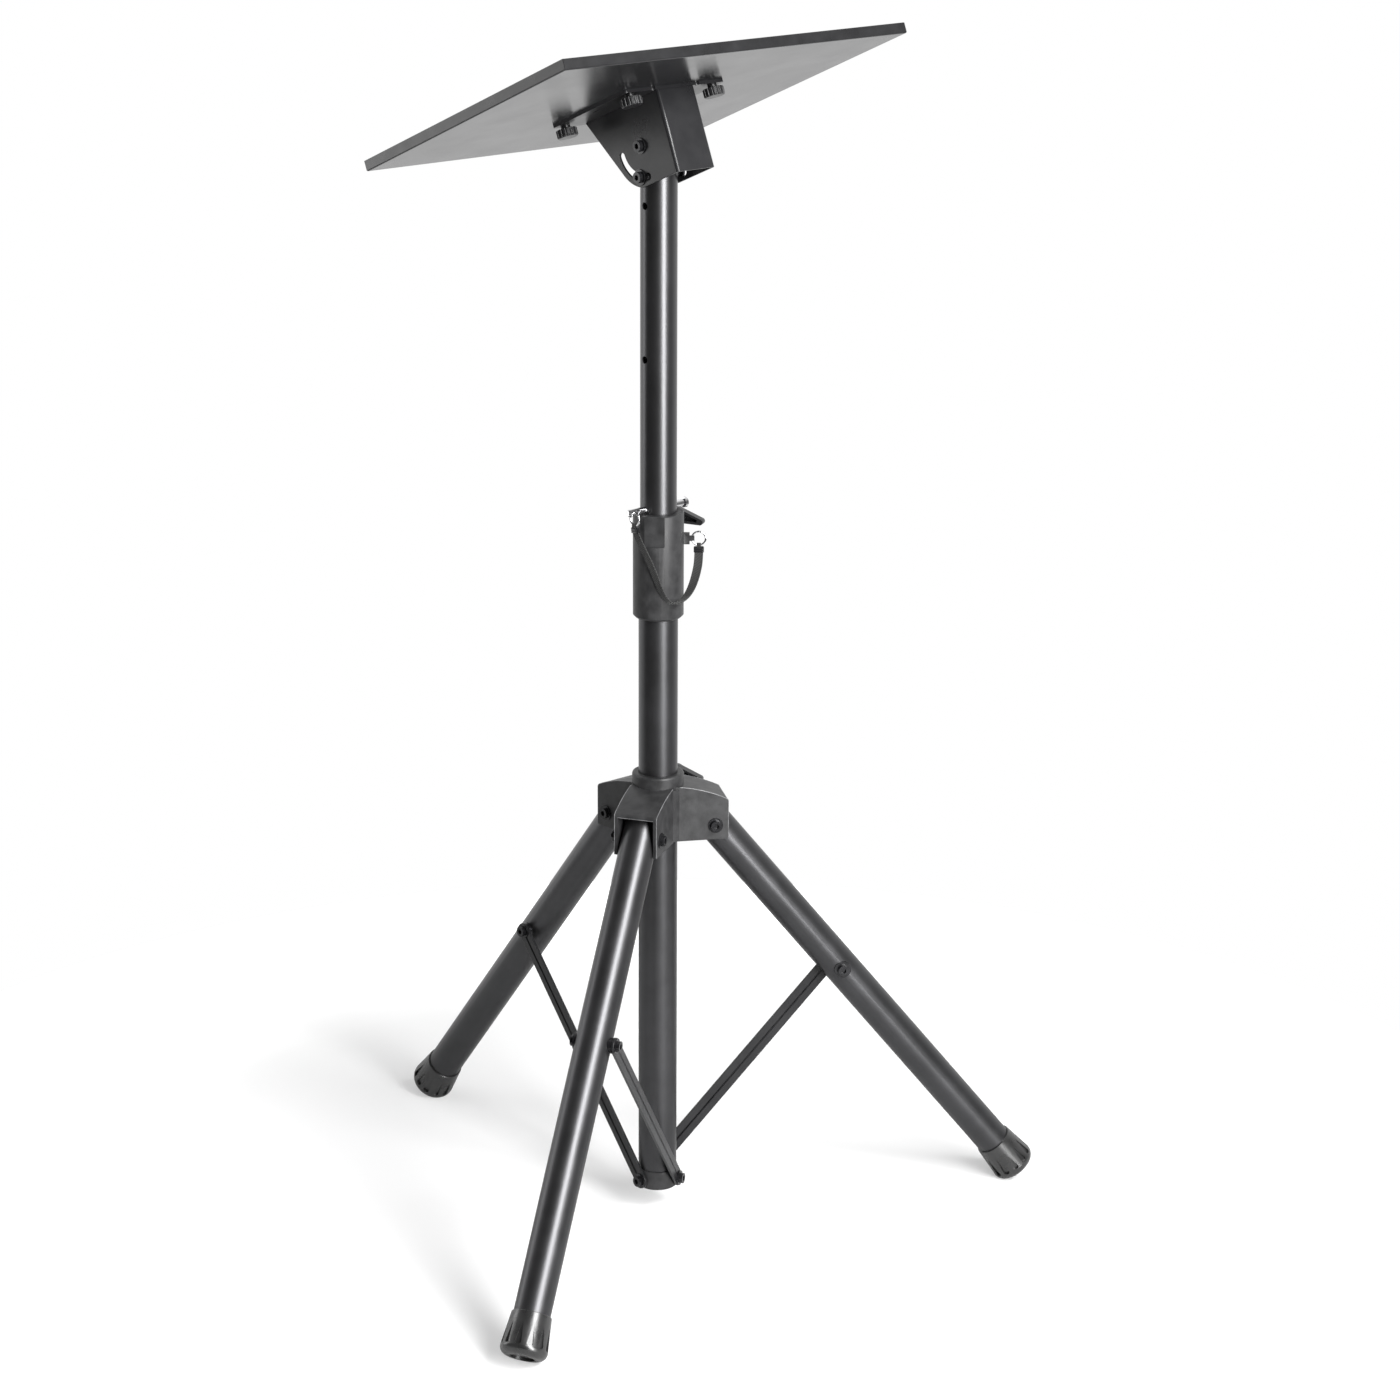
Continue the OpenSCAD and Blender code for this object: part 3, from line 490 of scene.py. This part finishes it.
def strap_section():
    """Outline of the webbing, across and through: flat faces, thick woven edges."""
    half, thick = STRAP_WIDTH / 2, STRAP_THICK / 2
    side = [(-1.0, 0.0), (-0.985, 0.55), (-0.93, 0.9), (-0.86, 1.0), (-0.78, 0.8), (-0.4, 0.74),
            (0.0, 0.74), (0.4, 0.74), (0.78, 0.8), (0.86, 1.0), (0.93, 0.9), (0.985, 0.55)]
    turned = [(-x, -y) for x, y in side]
    return [(x * half, y * thick) for x, y in side + turned]


def map_weave(strap, stations, section):
    """Lays a map on the webbing in millimetres, along it and across it."""
    lengths = [0.0]
    for a, b in zip(stations, stations[1:]):
        lengths.append(lengths[-1] + (b[0] - a[0]).length / MM)
    across = [x / MM for x, _ in section]
    weave = strap.data.uv_layers.new(name="weave")
    for loop in strap.data.loops:
        row, column = divmod(loop.vertex_index, len(section))
        weave.data[loop.index].uv = (lengths[row], across[column])


def make_strap(stations, materials):
    """Webbing from the lug's ring round the front of the collar to the pin's ring."""
    section = strap_section()
    shape = sweep([[mid + width * x + face * y for x, y in section]
                   for mid, width, face, _ in stations])
    strap = piece_from(shape, "strap_webbing", None, materials["webbing"], 50)
    map_weave(strap, stations, section)
    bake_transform(strap)
    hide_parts("pin_strap")


def make_crimp(name, body, station, inward, materials):
    """Pressed band that holds the folded end of the webbing, with two dents across it."""
    mid, width, face, ahead = station
    half_w, half_t = STRAP_WIDTH / 2 + CRIMP_PROUD, STRAP_THICK / 2 + CRIMP_PROUD
    # Shares of the band's length and thickness, along it
    swells = [(0.0, 0.86), (0.04, 1.0), (0.22, 1.0), (0.30, 0.8), (0.38, 1.0), (0.62, 1.0),
              (0.70, 0.8), (0.78, 1.0), (0.96, 1.0), (1.0, 0.86)]
    # Shares of its half width and half thickness, around it
    corners = [(1, -0.6), (1, 0.6), (0.9, 0.92), (0.8, 1), (-0.8, 1), (-0.9, 0.92), (-1, 0.6),
               (-1, -0.6), (-0.9, -0.92), (-0.8, -1), (0.8, -1), (0.9, -0.92)]
    rings = []
    for along, swell in swells:
        spot = mid + ahead * inward * (CRIMP_SET_BACK + CRIMP_LENGTH * along)
        rings.append([spot + width * x * half_w + face * y * half_t * swell
                      for x, y in corners])
    piece_from(sweep(rings), name, body, materials["black_steel"], 40)


def make_ring_loop(name, body, ring, axis, out, materials):
    """Narrow fold of webbing that goes round the wire of a ring at its lowest point."""
    wire_mid = ring_low_spot(ring)
    turns = [math.radians(-15 + 210 * k / 12) for k in range(13)]
    rim = [(math.cos(turn), math.sin(turn)) for turn in turns]
    outline = [(x * LOOP_OUTER_R, y * LOOP_OUTER_R) for x, y in rim]
    outline += [(-LOOP_TAIL_OUT, -LOOP_DROP), (-LOOP_SLIT, -LOOP_DROP),
                (-LOOP_SLIT, -LOOP_THROAT)]
    outline += [(x * LOOP_INNER_R, y * LOOP_INNER_R) for x, y in reversed(rim)]
    outline += [(LOOP_SLIT, -LOOP_THROAT), (LOOP_SLIT, -LOOP_DROP),
                (LOOP_TAIL_OUT, -LOOP_DROP)]
    rings = [[wire_mid + out * x + UP * y + axis * span for x, y in outline]
             for span in (-LOOP_HALF_W, LOOP_HALF_W)]
    piece_from(sweep(rings), name, body, materials["webbing"], 40)


def make_strap_ends(stations, materials):
    """Crimp and ring loop at the collar's end of the strap and at the pin's."""
    make_crimp("strap_crimp_collar", "column", stations[0], 1.0, materials)
    make_crimp("strap_crimp_pin", "mast", stations[-1], -1.0, materials)
    lug = around(math.radians(STRAP_ROUTE[0][0]), 1.0, 0.0)
    make_ring_loop("strap_loop_collar", "column", "strap_ring", lug, beside(lug), materials)
    make_ring_loop("strap_loop_pin", "mast", "pin_ring", Vector((0, 1, 0)), Vector((1, 0, 0)),
                   materials)


# Small metal and trim

def make_screw_thread(name, knob, boss_end, materials):
    """Thread of a clamp screw on the bare stretch between its boss and the knob."""
    joint = JOINTS[knob + "_turn"]
    axis = Vector(joint["axis"])
    side = beside(axis)
    middle = Vector((0, 0, joint["pos_m"][2]))
    root = CLAMP_SCREW_R - THREAD_SINK
    crest = THREAD_SINK + THREAD_DEPTH * THREAD_CREST
    count = int(((KNOB_START - boss_end) / THREAD_PITCH - 1.0) * THREAD_STEPS)
    run_out = THREAD_STEPS / 2
    rings = []
    for k in range(count + 1):
        turn = 2 * math.pi * k / THREAD_STEPS
        ray = side * math.cos(turn) + UP * math.sin(turn)
        along = boss_end + THREAD_PITCH * (0.5 + k / THREAD_STEPS)
        fade = max(0.05, min(1.0, k / run_out, (count - k) / run_out))
        peak = root + crest * fade
        # Shares of the pitch, along the screw, with the radius at each
        profile = ((-0.42, root), (-0.08, peak), (0.08, peak), (0.42, root))
        rings.append([middle + axis * (along + share * THREAD_PITCH) + ray * radius
                      for share, radius in profile])
    piece_from(sweep(rings), name, knob, materials["bright_metal"], 60)


def make_tray_edging(materials):
    """Edge band glued round the board in four lengths, a hair proud of its edges."""
    low, high = head_box("tray")
    place = head_place()
    base, top = low.z + BAND_ABOVE_LOW, high.z - BAND_BELOW_TOP
    left, right = low.x + BAND_JOINT, high.x - BAND_JOINT
    runs = {"front": ((left, low.y), (right, low.y), (0, -1)),
            "back": ((right, high.y), (left, high.y), (0, 1)),
            "left": ((low.x, high.y), (low.x, low.y), (-1, 0)),
            "right": ((high.x, low.y), (high.x, high.y), (1, 0))}
    eased = 0.4 * BAND_PROUD
    section = [(-BAND_SINK, base), (eased, base), (BAND_PROUD, base + BAND_EDGE),
               (BAND_PROUD, top - BAND_EDGE), (eased, top), (-BAND_SINK, top)]
    for side, (start, end, out) in runs.items():
        rings = [[place @ Vector((x + out[0] * proud, y + out[1] * proud, z))
                  for proud, z in section] for x, y in (start, end)]
        # Painted shade: the bands are coloured darker than the board.
        piece_from(sweep(rings), "tray_edge_band_" + side, "head",
                   materials["tray_edge_painted_shade"], 20)


def roof_edge(side):
    """Upper edge of an arm's cheek, from the hub's ring out over the roof and down its end."""
    start = math.asin(LIP_START_R / ROOF_ARC)
    lean = math.asin((ARM_END - NOSE_R) / (ROOF_ARC - NOSE_R))
    points = []
    for k in range(ROOF_STEPS + 1):
        turn = start + (lean - start) * k / ROOF_STEPS
        points.append((ROOF_ARC * math.sin(turn), ARC_MID_Z + ROOF_ARC * math.cos(turn)))
    for k in range(1, NOSE_STEPS + 1):
        turn = lean + (math.radians(90) - lean) * k / NOSE_STEPS
        points.append((ARM_END - NOSE_R + NOSE_R * math.sin(turn),
                       NOSE_Z + NOSE_R * math.cos(turn)))
    points.append((ARM_END, HUB_LOW + LIP_SHORT))
    return [Vector((r, side * ARM_HALF_W, z)) for r, z in points]


def lip_ring(mid, across, out):
    """Points round the lip about its middle."""
    turns = [2 * math.pi * k / LIP_SIDES for k in range(LIP_SIDES)]
    return [mid + across * LIP_R * math.cos(w) + out * LIP_R * math.sin(w) for w in turns]


def cheek_lip(side):
    """Rings of the lip along the edge of one cheek. side is 1 for the left and -1 for the right."""
    path = roof_edge(side)
    across = Vector((0, side, 0))
    rings = []
    for i, spot in enumerate(path):
        ahead = (path[min(i + 1, len(path) - 1)] - path[max(i - 1, 0)]).normalized()
        out = ahead.cross(across) * side
        rings.append(lip_ring(spot - (across + out) * LIP_SINK, across, out))
    return rings


def front_lip():
    """Rings of the lip across the arm's end, on the roof's lower edge."""
    mid = Vector((ARM_END - LIP_SINK, 0, CHANNEL_TOP + LIP_SINK))
    return [lip_ring(mid + Vector((0, span, 0)), Vector((1, 0, 0)), UP)
            for span in (-CHANNEL_HALF_W, CHANNEL_HALF_W)]


def make_hub_edges(materials):
    """Fine raised lip along the edges of each arm, painted lighter than the hub as an edge highlight."""
    lips = {"left": cheek_lip(1), "right": cheek_lip(-1), "front": front_lip()}
    for letter in "abc":
        hinge = JOINTS["leg_%s_hinge" % letter]["pos_m"]
        turn = Matrix.Rotation(math.atan2(hinge[1], hinge[0]), 4, "Z")
        for hand, rings in lips.items():
            shape = sweep([[turn @ point for point in ring] for ring in rings])
            # Painted highlight: the lips are coloured lighter than the hub.
            piece_from(shape, "hub_lip_%s_%s" % (letter, hand), "hub",
                       materials["painted_edge_highlight"], 60)


# Studio

# The floor's radius, its colour, and its glow to the camera at the middle, which rises to white
# at the rim from the radius where the rise starts. Gloss sees only a little of it.
FLOOR_R = 0.95
FLOOR_PALE = (0.55, 0.55, 0.55, 1.0)
FLOOR_GLOW = 0.40
FLOOR_RISE_R = 0.5
FLOOR_IN_GLOSS = 0.03
FLOOR_SIDES = 96

# The world's strength in gloss in front of the stand and behind it, and where it fades from one
# to the other, if straight to the front is -1 and straight to the back is 1. Everything that
# isn't gloss gets a soft fill.
GLOSS_FRONT = 0.03
GLOSS_BACK = 1.0
GLOSS_FADE = (-0.35, 0.55)
SOFT_FILL = 0.30


def seen_or_through(nodes, links, path):
    """Mask that is 1 for what the camera sees, straight or through something clear."""
    seen = nodes.new("ShaderNodeMath")
    seen.operation = "MAXIMUM"
    links.new(path.outputs["Is Camera Ray"], seen.inputs[0])
    links.new(path.outputs["Is Transmission Ray"], seen.inputs[1])
    return seen.outputs[0]


def smooth_rise(nodes, links, value, reach, low, high):
    """Output that rises smoothly from low to high while a value runs over its reach."""
    rise = nodes.new("ShaderNodeMapRange")
    rise.interpolation_type = "SMOOTHSTEP"
    rise.inputs["From Min"].default_value, rise.inputs["From Max"].default_value = reach
    rise.inputs["To Min"].default_value = low
    rise.inputs["To Max"].default_value = high
    links.new(value, rise.inputs["Value"])
    return rise.outputs["Result"]


def floor_material():
    """Pale matte floor with a glow for the camera, so that it ends in white without an edge."""
    material = bpy.data.materials.new("studio_floor")
    material.use_nodes = True
    nodes, links = material.node_tree.nodes, material.node_tree.links
    nodes.clear()
    out = nodes.new("ShaderNodeOutputMaterial")
    matte = nodes.new("ShaderNodeBsdfDiffuse")
    matte.inputs["Color"].default_value = FLOOR_PALE
    glow = nodes.new("ShaderNodeEmission")
    both = nodes.new("ShaderNodeAddShader")
    path = nodes.new("ShaderNodeLightPath")
    place = nodes.new("ShaderNodeTexCoord")
    reach = nodes.new("ShaderNodeVectorMath")
    reach.operation = "LENGTH"
    links.new(place.outputs["Object"], reach.inputs[0])
    white = smooth_rise(nodes, links, reach.outputs["Value"], (FLOOR_RISE_R, FLOOR_R),
                        FLOOR_GLOW, 1.0)
    glow_seen = nodes.new("ShaderNodeMath")
    glow_seen.operation = "MULTIPLY"
    links.new(white, glow_seen.inputs[0])
    links.new(seen_or_through(nodes, links, path), glow_seen.inputs[1])
    in_gloss = nodes.new("ShaderNodeMath")
    in_gloss.operation = "MULTIPLY_ADD"
    in_gloss.inputs[1].default_value = FLOOR_IN_GLOSS
    links.new(path.outputs["Is Glossy Ray"], in_gloss.inputs[0])
    links.new(glow_seen.outputs[0], in_gloss.inputs[2])
    links.new(in_gloss.outputs[0], glow.inputs["Strength"])
    links.new(matte.outputs[0], both.inputs[0])
    links.new(glow.outputs[0], both.inputs[1])
    links.new(both.outputs[0], out.inputs["Surface"])
    return material


def make_floor():
    """Round floor that keeps the stand's shadow."""
    mesh = bpy.data.meshes.new("studio_floor")
    shape = bmesh.new()
    bmesh.ops.create_circle(shape, cap_ends=True, radius=FLOOR_R, segments=FLOOR_SIDES)
    shape.to_mesh(mesh)
    shape.free()
    mesh.materials.append(floor_material())
    floor = bpy.data.objects.new("studio_floor", mesh)
    bpy.context.scene.collection.objects.link(floor)


def make_world():
    """White to the camera all round. In gloss, the studio is white behind and dim in front."""
    world = bpy.data.worlds.new("studio")
    bpy.context.scene.world = world
    world.use_nodes = True
    nodes, links = world.node_tree.nodes, world.node_tree.links
    nodes.clear()
    out = nodes.new("ShaderNodeOutputWorld")
    light = nodes.new("ShaderNodeBackground")
    light.inputs["Color"].default_value = (1.0, 1.0, 1.0, 1.0)
    path = nodes.new("ShaderNodeLightPath")
    place = nodes.new("ShaderNodeTexCoord")
    facing = nodes.new("ShaderNodeVectorMath")
    facing.operation = "DOT_PRODUCT"
    facing.inputs[1].default_value = -around(FRONT, 1.0, 0.0)
    links.new(place.outputs["Generated"], facing.inputs[0])
    behind = smooth_rise(nodes, links, facing.outputs["Value"], GLOSS_FADE,
                         GLOSS_FRONT, GLOSS_BACK)
    lighting = nodes.new("ShaderNodeMix")
    lighting.inputs["A"].default_value = SOFT_FILL
    links.new(path.outputs["Is Glossy Ray"], lighting.inputs["Factor"])
    links.new(behind, lighting.inputs["B"])
    strength = nodes.new("ShaderNodeMix")
    strength.inputs["B"].default_value = 1.0
    links.new(seen_or_through(nodes, links, path), strength.inputs["Factor"])
    links.new(lighting.outputs["Result"], strength.inputs["A"])
    links.new(strength.outputs["Result"], light.inputs["Strength"])
    links.new(light.outputs[0], out.inputs["Surface"])


def make_softbox(name, side, distance, height, size, watts, aim):
    """Area lamp that aims at a height on the column. side is its turn in degrees about the
    column, from the camera toward the camera's right."""
    lamp = bpy.data.lights.new(name, "AREA")
    lamp.shape = "RECTANGLE"
    lamp.size, lamp.size_y = size
    lamp.energy = watts
    obj = bpy.data.objects.new(name, lamp)
    bpy.context.scene.collection.objects.link(obj)
    obj.location = around(FRONT + math.radians(side), distance, height)
    toward = Vector((0, 0, aim)) - obj.location
    obj.rotation_euler = toward.to_track_quat("-Z", "Y").to_euler()


def make_lights():
    """Tall strip and key to the right, a dim fill from the left, and a faint lamp overhead."""
    make_softbox("strip_softbox", side=32, distance=2.6, height=1.5, size=(0.85, 3.0),
                 watts=190, aim=1.4)
    make_softbox("key_softbox", side=48, distance=2.3, height=2.5, size=(0.8, 0.9),
                 watts=72, aim=0.6)
    make_softbox("left_fill", side=-103, distance=2.8, height=0.9, size=(0.8, 1.8),
                 watts=12, aim=0.6)
    make_softbox("overhead", side=0, distance=0.4, height=3.2, size=(1.6, 1.6),
                 watts=6, aim=0.6)


def make_camera():
    """Camera at the photograph's own place and angle."""
    lens = bpy.data.cameras.new("photo_camera")
    lens.sensor_width = CAMERA_SENSOR
    lens.lens = CAMERA_LENS
    lens.clip_end = CAMERA_REACH
    camera = bpy.data.objects.new("photo_camera", lens)
    bpy.context.scene.collection.objects.link(camera)
    turn = (Matrix.Rotation(CAMERA_HEADING, 4, "Z")
            @ Matrix.Rotation(math.radians(90) + CAMERA_PITCH, 4, "X")
            @ Matrix.Rotation(CAMERA_ROLL, 4, "Z"))
    camera.matrix_world = Matrix.Translation(CAMERA_PLACE) @ turn
    bpy.context.scene.camera = camera


# The scene

bpy.context.scene.view_settings.view_transform = "Standard"
make_camera()
materials = make_materials()
dress_nodes(materials)
stations = strap_stations()
make_strap(stations, materials)
make_strap_ends(stations, materials)
make_screw_thread("collar_screw_thread", "collar_knob", COLLAR_BOSS_END, materials)
make_screw_thread("hub_screw_thread", "hub_knob", HUB_BOSS_END, materials)
make_tray_edging(materials)
make_hub_edges(materials)
make_floor()
make_world()
make_lights()
